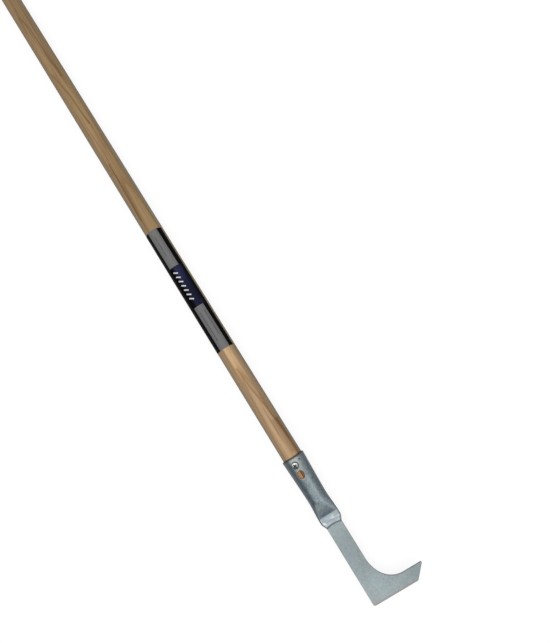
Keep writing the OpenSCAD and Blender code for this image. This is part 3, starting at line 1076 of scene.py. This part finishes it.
@dataclass(frozen=True)
class PrintedFilm:
    """Satin film round the shaft: black, with two grey panels, plain rules and a hatched navy field.

    Places along it are in metres from the socket's mouth, and those round it are in degrees from the top.
    """

    black: Colour = srgb(5, 5, 6)
    navy: Colour = srgb(40, 44, 74)
    grey: Colour = srgb(113, 112, 113)
    ink: Colour = srgb(52, 50, 54)
    pale: Colour = srgb(212, 212, 216)
    dust: Colour = srgb(170, 168, 165)

    # The panels and the middle field, which turn a little round the shaft along the way.
    askew: float = -26.5
    square_at: float = 205 * MM
    lower_panel: Band = (167 * MM, 243.6 * MM, 0.12 * MM)
    upper_panel: Band = (311.7 * MM, 382 * MM, 0.12 * MM)
    panel_round: Band = (-37.5, 25.5, 0.6)
    field_along: Band = (243.6 * MM, 311.7 * MM, 2 * MM)
    field_round: Band = (-46, 4, 12)
    fading: Pattern = Pattern((25, 60, 60), (3, 1, 1), detail=2)
    fading_level: Fade = (0.3, 0.7, 0.4, 1)

    # The bars in the middle field and the rules on the panels.
    arc_per_degree: float = 0.25 * MM
    bars: int = 7
    first_bar: float = 257.6 * MM
    bar_room: float = 52.1 * MM
    bar: Mark = Mark(((-2 * MM, -1.6 * MM), (2 * MM, 4.4 * MM)), 0.95 * MM, 0.35 * MM)
    bar_share: float = 0.95
    rules: tuple[Triple, ...] = ((186 * MM, 234 * MM, 6), (194 * MM, 234 * MM, -22), (331 * MM, 366 * MM, -2))
    rule_end: float = 0.5 * MM
    rule_half: float = 2.4
    rule_blur: float = 1
    rule_share: float = 0.6
    dashes: Pattern = Pattern((420, 1, 1), (2, 2, 2), detail=1)
    dashes_gap: Fade = (0.36, 0.5, 0.15, 1)

    # Sheen, wear, gloss and relief.
    sheen_round: Band = (-24, 6, 14)
    sheen: float = 0.16
    plain_level: float = 0.94
    speckles: Pattern = Pattern((1500, 1500, 1500), detail=2)
    speckles_level: Fade = (0.2, 0.8, 0.94, 1.06)
    scuffs: Pattern = Pattern((90, 700, 700), (6, 6, 6), detail=4, roughness=0.7)
    scuffs_dusty: Fade = (0.66, 0.8, 0, 0.1)
    smoothest: float = 0.35
    coarser: float = 0.3
    relief: float = 0.02 * MM
    relief_share: float = 0.5
    specular: float = 0.04

    def panels(self, g: Graph, turn: NodeSocket) -> NodeSocket:
        """Return the mask of the two grey panels."""
        along = g.plus(g.between(g.x, *self.lower_panel), g.between(g.x, *self.upper_panel))
        return g.times(g.between(turn, *self.panel_round), along)

    def hatch(self, g: Graph, turn: NodeSocket) -> NodeSocket:
        """Draw a row of plain slanted bars across the middle field.

        Args:
            g: The graph to add to.
            turn: The place round the shaft.

        Returns:
            The mask's socket.
        """
        mask = 0.0
        across = g.times(turn, self.arc_per_degree)
        for index in range(self.bars):
            from_bar = g.plus(g.x, -self.first_bar - self.bar_room * index / self.bars)
            mask = g.plus(mask, g.trail(self.bar, from_bar, across))
        return mask

    def build(self) -> bpy.types.Material:
        """Make the material.

        Returns:
            The material.
        """
        g = Graph("printed_film")
        around = g.times(g.math("ARCTAN2", g.y, g.z), math.degrees(1))
        turn = g.plus(around, g.line(g.x, self.askew, -self.askew * self.square_at))
        middle = g.times(g.between(g.x, *self.field_along), g.between(turn, *self.field_round))
        colour = g.paint(self.black, self.navy, middle, g.step(g.noise(self.fading), *self.fading_level))
        colour = g.paint(colour, self.pale, self.hatch(g, turn), self.bar_share)
        colour = g.paint(colour, self.grey, self.panels(g, turn))
        dashes = g.step(g.noise(self.dashes), *self.dashes_gap)
        for start, end, at in self.rules:
            along = g.between(g.x, start, end, self.rule_end)
            across = g.between(turn, at - self.rule_half, at + self.rule_half, self.rule_blur)
            colour = g.paint(colour, self.ink, along, across, dashes, self.rule_share)
        sheen = g.between(turn, *self.sheen_round)
        colour = g.level(colour, g.line(sheen, self.sheen, self.plain_level))
        colour = g.level(colour, g.step(g.noise(self.speckles), *self.speckles_level))
        scuff = g.noise(self.scuffs)
        colour = g.paint(colour, self.dust, g.step(scuff, *self.scuffs_dusty))
        rough = g.line(scuff, self.coarser, self.smoothest)
        normal = g.bump(scuff, self.relief, self.relief_share)
        return g.finish(Base_Color=colour, Roughness=rough, Normal=normal, Specular_IOR_Level=self.specular)


# Mesh building

# A section crosses its flat where its angle's cosine is smaller than this.
FLAT_BLEND = 0.16

# How far a ring's vertices crowd towards its top and its bottom.
CROWDING = 0.22


@dataclass(frozen=True)
class Section:
    """One cross-section of a pressed tube: two round ends joined by a flat above and below."""

    x: float
    radius: float
    half_flat: float = 0.0

    def point(self, turn: float) -> Vector:
        """Return the section's point at an angle round the axis.

        Args:
            turn: The angle, in radians.

        Returns:
            The point.
        """
        reach = max(-1.0, min(1.0, math.cos(turn) / FLAT_BLEND))
        across = self.half_flat * math.sin(reach * math.pi / 2) + self.radius * math.cos(turn)
        return Vector((self.x, across, self.radius * math.sin(turn)))


def verts_in(made: Iterable[object]) -> list[bmesh.types.BMVert]:
    """Pick the vertices out of what an operator made."""
    return [item for item in made if isinstance(item, bmesh.types.BMVert)]


def edges_between(made: Iterable[object], ends: set[bmesh.types.BMVert]) -> list[bmesh.types.BMEdge]:
    """Pick the edges that join only the given vertices out of what an operator made."""
    return [item for item in made if isinstance(item, bmesh.types.BMEdge) and ends.issuperset(item.verts)]


def loft(bm: bmesh.types.BMesh, sections: Sequence[Section], segments: int, closed: bool = False,
         bend: Callable[[Vector], Vector] = Vector.copy) -> None:
    """Sweep a ring through sections by extruding its edges.

    Args:
        bm: The mesh to add to.
        sections: The sections, in order.
        segments: Vertices in each ring.
        closed: Whether the last ring joins the first; otherwise both ends are capped.
        bend: What is done to each finished point.
    """
    turn = bm.verts.layers.float.new("turn")
    ring = bmesh.ops.create_circle(bm, cap_ends=False, radius=1, segments=segments)["verts"]
    for vert in ring:
        angle = math.atan2(vert.co.y, vert.co.x)
        vert[turn] = angle + CROWDING * math.sin(2 * angle)
    edges = list({edge for vert in ring for edge in vert.link_edges})
    first = edges
    for index, section in enumerate(sections):
        for vert in ring:
            vert.co = bend(section.point(vert[turn]))
        if index < len(sections) - 1:
            made = bmesh.ops.extrude_edge_only(bm, edges=edges)["geom"]
            ring = verts_in(made)
            edges = edges_between(made, set(ring))
    if closed:
        bmesh.ops.bridge_loops(bm, edges=first + edges)
    else:
        for loop in (first, edges):
            bmesh.ops.contextual_create(bm, geom=loop)


class Pen:
    """Draws an outline in one plane by extruding and spinning its last vertex."""

    def __init__(self, bm: bmesh.types.BMesh, start: Vector, axis: Vector) -> None:
        """Put the pen down.

        Args:
            bm: The mesh to draw in.
            start: The outline's first point.
            axis: The direction square to the outline's plane.
        """
        self.bm = bm
        self.axis = axis
        self.first = self.last = bmesh.ops.create_vert(bm, co=start)["vert"][0]

    def to(self, point: Vector) -> None:
        """Draw a straight line to a point."""
        self.last = bmesh.ops.extrude_vert_indiv(self.bm, verts=[self.last])["verts"][0]
        self.last.co = point

    def arc(self, centre: Vector, degrees: float, steps: int) -> None:
        """Draw an arc round a centre.

        Args:
            centre: The arc's centre.
            degrees: How far it turns about the pen's axis.
            steps: Straight pieces in it.
        """
        made = bmesh.ops.spin(self.bm, geom=[self.last], cent=centre, axis=self.axis,
                              angle=math.radians(degrees), steps=steps)
        self.last = verts_in(made["geom_last"])[0]

    def close(self) -> bmesh.types.BMFace:
        """Join the pen's ends and fill the outline.

        Returns:
            The face that fills it.
        """
        self.bm.edges.new((self.last, self.first))
        bmesh.ops.remove_doubles(self.bm, verts=self.bm.verts, dist=WELD)
        return bmesh.ops.contextual_create(self.bm, geom=list(self.bm.edges))["faces"][0]


def as_object(name: str, bm: bmesh.types.BMesh) -> bpy.types.Object:
    """Turn a bmesh into an object in the scene, with its faces outwards.

    Args:
        name: The object's name.
        bm: The bmesh, which is freed.

    Returns:
        The object.
    """
    bmesh.ops.recalc_face_normals(bm, faces=bm.faces)
    mesh = bpy.data.meshes.new(name)
    bm.to_mesh(mesh)
    bm.free()
    piece = bpy.data.objects.new(name, mesh)
    bpy.context.scene.collection.objects.link(piece)
    return piece


def upright(name: str, radius: float, bottom: float, top: float, x: float,
            half_flat: float = 0.0) -> bpy.types.Object:
    """Make an upright round or oval cutter.

    Args:
        name: The cutter's name.
        radius: Its radius.
        bottom: The height of its lower end.
        top: The height of its upper end.
        x: Where it stands along the shaft.
        half_flat: How far each half is moved apart along the shaft.

    Returns:
        The cutter.
    """
    bm = bmesh.new()
    bmesh.ops.create_cone(bm, cap_ends=True, segments=CUTTER_SIDES, radius1=radius, radius2=radius,
                          depth=top - bottom)
    for vert in bm.verts:
        vert.co += Vector((math.copysign(half_flat, vert.co.x) + x, 0, (bottom + top) / 2))
    return as_object(name, bm)


def cut(target: bpy.types.Object, cutters: Sequence[bpy.types.Object]) -> None:
    """Cut solids out of a piece, and remove the solids.

    Args:
        target: The piece.
        cutters: The solids to cut out of it.
    """
    for cutter in cutters:
        modifier = target.modifiers.new("cut", "BOOLEAN")
        modifier.operation = "DIFFERENCE"
        modifier.solver = "EXACT"
        modifier.object = cutter
    bpy.context.view_layer.update()
    shaped = bpy.data.meshes.new_from_object(target.evaluated_get(bpy.context.evaluated_depsgraph_get()))
    spent = [target.data] + [cutter.data for cutter in cutters]
    target.modifiers.clear()
    target.data = shaped
    for cutter in cutters:
        bpy.data.objects.remove(cutter)
    for mesh in spent:
        bpy.data.meshes.remove(mesh)


def dress(piece: bpy.types.Object, material: bpy.types.Material, slot: Slot, node: str) -> bpy.types.Object:
    """Smooth a finished piece, give it its material and put it in its node's place.

    Args:
        piece: The finished piece.
        material: Its material.
        slot: Not used.
        node: The solid that it replaces.

    Returns:
        The piece.
    """
    bm = bmesh.new()
    bm.from_mesh(piece.data)
    for face in bm.faces:
        face.smooth = face.calc_area() < LARGE_FACE
    for edge in bm.edges:
        edge.smooth = len(edge.link_faces) == 2 and edge.calc_face_angle(0) < SHARP_ANGLE
    bm.to_mesh(piece.data)
    bm.free()
    piece.data.materials.clear()
    piece.data.materials.append(material)
    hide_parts(node)
    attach(piece, "root")
    LOG.info("%s: %d faces for %s", piece.name, len(piece.data.polygons), node)
    return piece


def soften(stations: Sequence[Point], at: float, reach: float, samples: int = 9) -> float:
    """Read a line of straight stretches with its corners rounded.

    Args:
        stations: Places and their values, in order.
        at: Where to read it.
        reach: How far each way a corner is rounded.
        samples: How many readings are averaged.

    Returns:
        The rounded value.
    """

    def straight(place: float) -> float:
        """Read the line as it stands.

        Args:
            place: Where to read it.

        Returns:
            The value there.
        """
        for (a, low), (b, high) in zip(stations, stations[1:]):
            if place <= b:
                return low + (high - low) * max(0.0, place - a) / (b - a)
        return stations[-1][1]

    return sum(straight(at + reach * (2 * i / (samples - 1) - 1)) for i in range(samples)) / samples


# Pieces


@dataclass
class Shaft:
    """The round wooden shaft, with its tapered end in the socket and the screw's hole in it."""

    end_round: float = 6 * MM
    end_rings: int = 12
    taper: float = 60 * MM
    taper_end: float = 11.9 * MM
    taper_curve: float = 1.5
    taper_rings: int = 24
    eased: float = 0.5 * MM
    near_rings: tuple[float, ...] = (0.0, 2 * MM, 20 * MM)
    straight_rings: int = 40
    pilot: float = 2.55 * MM
    pilot_deep: float = 25 * MM
    screw_head: float = 3 * MM
    segments: int = 144

    def tapered(self, radius: float) -> list[Section]:
        """Return the cross-sections of the part in the socket, from its eased end.

        Args:
            radius: The shaft's radius.

        Returns:
            The sections.
        """
        found = [Section(self.eased * share - self.taper, self.taper_end - self.eased * (1 - share))
                 for share in (0.0, 0.5)]
        for i in range(1, self.taper_rings):
            share = i / self.taper_rings
            grown = (radius - self.taper_end) * share ** self.taper_curve
            found.append(Section(self.taper * (share - 1), self.taper_end + grown))
        return found

    def sections(self, radius: float, end: float) -> list[Section]:
        """Return the cross-sections from the tapered end to the free end.

        Args:
            radius: The shaft's radius.
            end: The place of its free end.

        Returns:
            The sections.
        """
        found = self.tapered(radius) + [Section(x, radius) for x in self.near_rings]
        straight = end - self.end_round
        start = self.near_rings[-1]
        for i in range(1, self.straight_rings + 1):
            found.append(Section(start + (straight - start) * i / self.straight_rings, radius))
        for i in range(1, self.end_rings + 1):
            turn = math.pi / 2 * i / self.end_rings
            drawn_in = self.end_round * (1 - math.cos(turn))
            found.append(Section(straight + self.end_round * math.sin(turn), radius - drawn_in))
        found.append(Section(end, (radius - self.end_round) / 2))
        return found

    def build(self, material: bpy.types.Material) -> bpy.types.Object:
        """Model and dress the shaft.

        Args:
            material: Its wood.

        Returns:
            The piece.
        """
        _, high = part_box("shaft")
        screw_low, screw_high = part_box("screw")
        bm = bmesh.new()
        loft(bm, self.sections(high.z, high.x), self.segments)
        piece = as_object("ash_shaft", bm)
        seat = screw_high.z - self.screw_head
        screw_at = (screw_low.x + screw_high.x) / 2
        cut(piece, [upright("pilot_cutter", self.pilot, seat - self.pilot_deep, seat, screw_at)])
        return dress(piece, material, Slot.WOOD, "shaft")


@dataclass(frozen=True)
class PressedSocket(SocketPlan):
    """The pressed sheet socket: barrel, ramps, bright band, shoulders and hollow lip.

    A depth is the distance from the mouth along the shaft.
    """

    rim: float = 0.5 * MM
    flat_end: float = 93.7 * MM
    lip: float = 100.4 * MM
    mouth_r: float = 16.15 * MM
    neck_r: float = 13.6 * MM
    flare: float = 1.35
    wall: float = 1.5 * MM
    flat_r: float = 3.1 * MM
    flat_half: float = 11.95 * MM
    lip_half: float = 8.7 * MM
    lip_curve: float = 1.5
    slot_half: float = 9.75 * MM
    slot_r: float = 1.6 * MM
    slot_soft: float = 1 * MM
    ramp_soft: float = 4 * MM
    crease_soft: float = 0.8 * MM
    crease_before: float = 6 * MM
    shoulder_soft: float = 1.6 * MM
    shoulder_before: float = 3 * MM
    screw_hole_r: float = 2.75 * MM
    pit_at: float = 5.6 * MM
    pit_r: float = 0.9 * MM
    pit_turn: float = math.radians(32)
    seam_l: float = 60 * MM
    seam_w: float = 0.6 * MM
    seam_over: float = 2 * MM
    edge: float = 0.35 * MM
    edge_turns: tuple[float, ...] = (math.pi / 6, math.pi / 3, math.pi / 2)
    fine_step: float = 0.35 * MM
    fine_within: float = 2 * MM
    ramp_step: float = 0.9 * MM
    ramp_before: float = 5 * MM
    barrel_step: float = 2.2 * MM
    last_gap: float = 0.3 * MM
    segments: int = 176

    def barrel_radius(self, depth: float) -> float:
        """Return the barrel's outer radius at a depth from the mouth."""
        share = 1 - min(max(depth, 0.0), self.barrel) / self.barrel
        return self.neck_r + (self.mouth_r - self.neck_r) * share ** self.flare

    def corner(self, depth: float) -> float:
        """Tell how far each way the profile is rounded.

        Args:
            depth: The depth.

        Returns:
            The length of the rounding, each way.
        """
        if depth < self.ramp_end - self.crease_before:
            return self.ramp_soft
        return self.crease_soft if depth < self.flat_end - self.shoulder_before else self.shoulder_soft

    def outside(self, depth: float) -> Section:
        """Return the outer section.

        Args:
            depth: The depth.

        Returns:
            The section there.
        """
        reach = self.corner(depth)
        widths = ((0, 0), (self.barrel, 0), (self.ramp_end, self.flat_half), (self.flat_end, self.flat_half),
                  (self.lip, self.lip_half))
        heights = ((0, self.neck_r), (self.barrel, self.neck_r), (self.ramp_end, self.flat_r),
                   (self.lip, self.flat_r))
        radius = soften(heights, depth, reach) + self.barrel_radius(depth) - self.neck_r
        return Section(-depth, radius, soften(widths, depth, reach))

    def inside(self, depth: float) -> Section:
        """Return the inner section.

        Args:
            depth: The depth.

        Returns:
            The section there.
        """
        widths = ((0, 0), (self.barrel, 0), (self.ramp_end, self.slot_half), (self.lip, self.slot_half))
        radius = max(self.outside(depth).radius - self.wall, self.slot_r)
        return Section(-depth, radius, soften(widths, depth, self.slot_soft))

    def eased(self, depth: float, way: int, turn: float) -> Section:
        """Return a section of the rounded edge at one end.

        Args:
            depth: The depth of the end.
            way: 1 at the lip and -1 at the mouth.
            turn: How far round the edge it lies, from 0 on the outside to a right angle at the end.

        Returns:
            The section.
        """
        outer = self.outside(depth)
        return Section(outer.x + way * self.edge * (1 - math.sin(turn)),
                       outer.radius - self.edge * (1 - math.cos(turn)), outer.half_flat)

    def depths(self) -> list[float]:
        """Space the rings, close together at the creases.

        Returns:
            Their depths.
        """
        places = [self.rim]
        while places[-1] < self.lip - self.last_gap:
            here = places[-1]
            crease = min(abs(here - self.ramp_end), abs(here - self.flat_end))
            coarse = self.ramp_step if here > self.barrel - self.ramp_before else self.barrel_step
            places.append(here + (self.fine_step if crease < self.fine_within else coarse))
        places[-1] = self.lip
        return places

    def bend(self, point: Vector) -> Vector:
        """Draw the lip's middle back towards the mouth.

        Args:
            point: A point of the straight socket.

        Returns:
            Its place in the bowed one.
        """
        share = max(0.0, (-point.x - self.flat_end) / (self.lip - self.flat_end))
        half = self.lip_half + self.flat_r
        deep = self.bow_r - math.sqrt(self.bow_r ** 2 - half ** 2)
        here = self.bow_r - math.sqrt(self.bow_r ** 2 - min(abs(point.y), half) ** 2)
        return point + Vector(((deep - here) * min(1.0, share) ** self.lip_curve, 0, 0))

    def shell(self) -> bpy.types.Object:
        """Model the shell, before its holes are cut.

        Returns:
            The shell.
        """
        places = self.depths()
        outer = [depth for depth in places if self.rim + self.edge < depth < self.lip - self.edge]
        rings = [self.eased(self.rim, -1, turn) for turn in reversed(self.edge_turns)]
        rings += [self.outside(depth) for depth in outer]
        rings += [self.eased(self.lip, 1, turn) for turn in (0.0, *self.edge_turns)]
        rings += [self.inside(depth) for depth in reversed(places)]
        bm = bmesh.new()
        loft(bm, rings, self.segments, closed=True, bend=self.bend)
        return as_object("zinc_socket", bm)

    def cutters(self) -> list[bpy.types.Object]:
        """Model what is cut away.

        Returns:
            The solids that make the holes, the pit and the seam.
        """
        above = 2 * self.mouth_r
        oval_half = (self.oval_l - self.oval_w) / 2
        screw = upright("screw_cutter", self.screw_hole_r, 0, above, -self.screw_at)
        oval = upright("oval_cutter", self.oval_w / 2, 0, above, -self.oval_at, oval_half)
        pit_top = self.barrel_radius(self.pit_at) + self.wall / 2
        pit = upright("pit_cutter", self.pit_r, pit_top - self.wall, pit_top, -self.pit_at)
        pit.data.transform(Matrix.Rotation(self.pit_turn, 4, "X"))
        seam = bmesh.new()
        bmesh.ops.create_cube(seam, size=1)
        bmesh.ops.scale(seam, verts=seam.verts, vec=(self.seam_l + self.seam_over, self.seam_w, self.mouth_r))
        middle = (self.seam_over - self.seam_l) / 2
        bmesh.ops.translate(seam, verts=seam.verts, vec=(middle, 0, -self.mouth_r))
        return [screw, oval, pit, as_object("seam_cutter", seam)]

    def build(self, material: bpy.types.Material) -> bpy.types.Object:
        """Model and dress the socket.

        Args:
            material: Its plating.

        Returns:
            The piece.
        """
        piece = self.shell()
        cut(piece, self.cutters())
        return dress(piece, material, Slot.SHEET, "socket")


@dataclass
class HookBlade:
    """The flat hooked blade, with its tang in the socket."""

    half_strip: float = 11.25 * MM
    thick: float = 3 * MM
    hook: float = 17.2 * MM
    reach: float = 82.6 * MM
    curve_l: float = 36 * MM
    curve_w: float = 32 * MM
    curve_r: float = 42 * MM
    heel_r: float = 3 * MM
    nose_r: float = 4 * MM
    nose_turn: float = 45
    tip_r: float = 1 * MM
    edge: float = 0.3 * MM
    edge_segments: int = 3
    corner_steps: int = 10
    nose_steps: int = 8
    curve_steps: int = 28

    def outline(self, bm: bmesh.types.BMesh) -> bmesh.types.BMFace:
        """Draw the outline on the lower face, starting at the tang.

        Args:
            bm: The mesh to draw in.

        Returns:
            The face that fills the outline.
        """
        low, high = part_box("blade")

        def at(x: float, y: float) -> Vector:
            """Return a point on the lower face."""
            return Vector((x, y, low.z))

        # The hook's inner side runs into a tight arc, then into a wide one, and that into the strip.
        end, back, inner = low.x, self.half_strip, low.x + self.hook
        tip = back - self.reach
        span = self.curve_r - self.curve_l
        tight = (2 * self.curve_r * self.curve_w - self.curve_l ** 2 - self.curve_w ** 2) / (2 * span)
        wide_at = at(inner + self.curve_l, -back - self.curve_r)
        tight_at = at(inner + tight, -back - self.curve_w)
        turn = math.degrees(math.atan2(wide_at.x - tight_at.x, tight_at.y - wide_at.y))
        half_turn = math.radians(self.nose_turn / 2)
        nose_at = tip + self.hook + self.nose_r * math.tan(half_turn)
        tip_side = self.tip_r / math.tan(half_turn)
        pen = Pen(bm, at(high.x, back), Vector((0, 0, 1)))
        pen.to(at(end + self.heel_r, back))
        pen.arc(at(end + self.heel_r, back - self.heel_r), 90, self.corner_steps)
        pen.to(at(end, nose_at))
        pen.arc(at(end + self.nose_r, nose_at), self.nose_turn, self.nose_steps)
        pen.to(at(inner - tip_side / math.sqrt(2), tip + tip_side / math.sqrt(2)))
        pen.arc(at(inner - self.tip_r, tip + tip_side), 180 - self.nose_turn, self.corner_steps)
        pen.to(at(inner, -back - self.curve_w))
        pen.arc(tight_at, turn - 90, self.curve_steps)
        pen.arc(wide_at, -turn, self.curve_steps)
        pen.to(at(high.x, -back))
        return pen.close()

    def build(self, material: bpy.types.Material) -> bpy.types.Object:
        """Model and dress the blade.

        Args:
            material: Its plating.

        Returns:
            The piece.
        """
        bm = bmesh.new()
        made = bmesh.ops.extrude_face_region(bm, geom=[self.outline(bm)])["geom"]
        bmesh.ops.translate(bm, verts=verts_in(made), vec=(0, 0, self.thick))
        bmesh.ops.recalc_face_normals(bm, faces=bm.faces)
        rims = [edge for edge in bm.edges if abs(edge.verts[0].co.z - edge.verts[1].co.z) < WELD]
        bmesh.ops.bevel(bm, geom=rims, offset=self.edge, segments=self.edge_segments, profile=0.5,
                        affect="EDGES", material=-1)
        return dress(as_object("hook_blade", bm), material, Slot.BLADE, "blade")


@dataclass
class PanScrew:
    """The pan-head screw with its cross recess."""

    head_r: float = 4.7 * MM
    head_h: float = 3 * MM
    crown_r: float = 1.645 * MM
    crown_drop: float = 0.02 * MM
    rim_r: float = 1.4 * MM
    rim_drop: float = 0.15 * MM
    rim_turn: float = 78
    rim_steps: int = 8
    shank_r: float = 2.5 * MM
    point_h: float = 3 * MM
    ease: float = 0.25 * MM
    steps: int = 72
    recess_w: float = 1.4 * MM
    recess_l: float = 5.8 * MM
    recess_h: float = 1.7 * MM
    recess_taper: tuple[float, float] = (0.55, 0.8)
    recess_turn: float = math.radians(20)

    def build(self, material: bpy.types.Material) -> bpy.types.Object:
        """Model and dress the screw.

        Args:
            material: Its plating.

        Returns:
            The piece.
        """
        low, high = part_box("screw")
        seat = Vector(((low.x + high.x) / 2, (low.y + high.y) / 2, high.z - self.head_h))
        bm = bmesh.new()

        def on(radius: float, height: float) -> Vector:
            """Return a point of the screw's profile, counted from its seat."""
            return seat + Vector((radius, 0, height))

        flat_r = self.head_r - self.rim_r
        pen = Pen(bm, on(0, self.head_h), Vector((0, -1, 0)))
        pen.to(on(self.crown_r, self.head_h - self.crown_drop))
        pen.to(on(flat_r, self.head_h - self.rim_drop))
        pen.arc(on(flat_r, self.head_h - self.rim_r), -self.rim_turn, self.rim_steps)
        pen.to(on(self.head_r, self.ease))
        pen.to(on(self.head_r - self.ease, 0))
        pen.to(on(self.shank_r, 0))
        pen.to(on(self.shank_r, low.z + self.point_h - seat.z))
        pen.to(on(0, low.z - seat.z))
        bmesh.ops.spin(bm, geom=list(bm.verts) + list(bm.edges), cent=seat, axis=(0, 0, 1),
                       angle=2 * math.pi, steps=self.steps, use_merge=True)
        bmesh.ops.remove_doubles(bm, verts=bm.verts, dist=WELD)
        piece = as_object("pan_screw", bm)
        cut(piece, [self.recess(seat, quarter) for quarter in (0, 1)])
        return dress(piece, material, Slot.SCREW, "screw")

    def recess(self, seat: Vector, quarter: int) -> bpy.types.Object:
        """Model one tapered wing pair of the cross recess, as a cutter.

        Args:
            seat: The middle of the head's underside.
            quarter: 0 for one pair, and 1 for the pair that crosses it.

        Returns:
            The cutter.
        """
        bm = bmesh.new()
        bmesh.ops.create_cube(bm, size=1)
        bmesh.ops.scale(bm, verts=bm.verts, vec=(self.recess_l, self.recess_w, self.recess_h + self.ease))
        lower = [vert for vert in bm.verts if vert.co.z < 0]
        bmesh.ops.scale(bm, verts=lower, vec=(*self.recess_taper, 1))
        turn = Matrix.Rotation(self.recess_turn + quarter * math.pi / 2, 3, "Z")
        bmesh.ops.rotate(bm, verts=bm.verts, cent=(0, 0, 0), matrix=turn)
        middle = self.head_h + (self.ease - self.recess_h) / 2
        bmesh.ops.translate(bm, verts=bm.verts, vec=seat + Vector((0, 0, middle)))
        return as_object(f"recess_cutter_{quarter}", bm)


@dataclass
class WrapLabel:
    """The thin label round the front of the shaft."""

    inner_r: float = 14.02 * MM
    thick: float = 0.15 * MM
    width: float = 34.4 * MM
    aside: float = 0.8 * MM
    steps: int = 66

    def build(self, material: bpy.types.Material) -> bpy.types.Object:
        """Model and dress the label.

        Args:
            material: Its printed film.

        Returns:
            The piece.
        """
        low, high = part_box("label")
        turn = self.width / self.inner_r
        bm = bmesh.new()
        start = Matrix.Rotation(-turn / 2 - self.aside / self.inner_r, 3, "X") @ Vector((0, 0, self.inner_r))
        pen = Pen(bm, Vector((low.x, start.y, start.z)), Vector((1, 0, 0)))
        pen.arc(Vector((low.x, 0, 0)), math.degrees(turn), self.steps)
        made = bmesh.ops.extrude_edge_only(bm, edges=list(bm.edges))["geom"]
        bmesh.ops.translate(bm, verts=verts_in(made), vec=(high.x - low.x, 0, 0))
        made = bmesh.ops.extrude_face_region(bm, geom=list(bm.faces))["geom"]
        for vert in verts_in(made):
            vert.co += Vector((0, vert.co.y, vert.co.z)).normalized() * self.thick
        return dress(as_object("wrap_label", bm), material, Slot.LABEL, "label")


# Studio


@dataclass
class Studio:
    """The floor, the lights and the camera."""

    floor_z: float
    eye: Vector = field(default_factory=lambda: Vector((0.06117, -0.12569, 0.61664)))
    look: Vector = field(default_factory=lambda: Vector((0.16824, 0.07451, -0.98293)))
    up: Vector = field(default_factory=lambda: Vector((0.82835, -0.55122, 0.1)))
    focal_px: float = 450.0
    sensor: float = 36.0
    near: float = 0.01
    sight: float = 1000.0
    floor_half: float = 300.0
    floor_albedo: float = 0.17
    floor_glow: float = 0.86
    softbox: float = 4.2
    softbox_at: Vector = field(default_factory=lambda: Vector((0.3, -0.4, 1.9)))
    softbox_watts: float = 66.0
    world: float = 0.27

    def floor(self) -> None:
        """Lay a plain pale floor that keeps a soft shadow."""
        bm = bmesh.new()
        bmesh.ops.create_grid(bm, x_segments=1, y_segments=1, size=self.floor_half)
        bmesh.ops.translate(bm, verts=bm.verts, vec=(0, 0, self.floor_z))
        piece = as_object("studio_floor", bm)
        g = Graph("studio_floor")
        path = g.tree.nodes.new("ShaderNodeLightPath").outputs
        mirrored = g.math("MAXIMUM", path["Is Glossy Ray"], path["Is Transmission Ray"])
        seen = g.math("MAXIMUM", path["Is Camera Ray"], mirrored)
        piece.data.materials.append(g.finish(
            Base_Color=(self.floor_albedo,) * 3, Roughness=1.0, Specular_IOR_Level=0.0,
            Emission_Color=(1, 1, 1), Emission_Strength=g.times(seen, self.floor_glow)))

    def lights(self) -> None:
        """Hang one large softbox overhead, in an even pale surround."""
        lamp = bpy.data.lights.new("softbox", "AREA")
        lamp.shape = "SQUARE"
        lamp.size = self.softbox
        lamp.energy = self.softbox_watts
        softbox = bpy.data.objects.new("softbox", lamp)
        softbox.location = self.softbox_at
        bpy.context.scene.collection.objects.link(softbox)
        world = bpy.data.worlds.new("surround")
        world.use_nodes = True
        surround = world.node_tree.nodes["Background"]
        surround.inputs["Color"].default_value = (1, 1, 1, 1)
        surround.inputs["Strength"].default_value = self.world
        bpy.context.scene.world = world
        bpy.context.scene.view_settings.view_transform = "Standard"

    def camera(self) -> None:
        """Stand the camera where the photograph was taken from."""
        back = -self.look.normalized()
        right = self.up.cross(back).normalized()
        turn = Matrix((right, back.cross(right), back)).transposed().to_4x4()
        lens = bpy.data.cameras.new("camera")
        lens.sensor_width = self.sensor
        lens.lens = self.focal_px * self.sensor / IMAGE_LONG_SIDE
        lens.clip_start = self.near
        lens.clip_end = self.sight
        camera = bpy.data.objects.new("camera", lens)
        camera.matrix_world = Matrix.Translation(self.eye) @ turn
        bpy.context.scene.collection.objects.link(camera)
        bpy.context.scene.camera = camera

    def build(self) -> None:
        """Set up the whole studio."""
        self.floor()
        self.lights()
        self.camera()


def main() -> None:
    """Build the pieces in order, then the studio."""
    logging.basicConfig(level=logging.INFO, format="%(name)s %(message)s")
    screw_low, screw_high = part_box("screw")
    screw_at = ((screw_low.x + screw_high.x) / 2, (screw_low.y + screw_high.y) / 2)
    Shaft().build(AshWood().build())
    PressedSocket().build(SocketZinc().build())
    HookBlade().build(BladeZinc().build())
    PanScrew().build(ScrewZinc(at=screw_at, top=screw_high.z).build())
    WrapLabel().build(PrintedFilm().build())
    Studio(floor_z=CAD_BOX[0][2]).build()


if __name__ == "__main__":
    main()
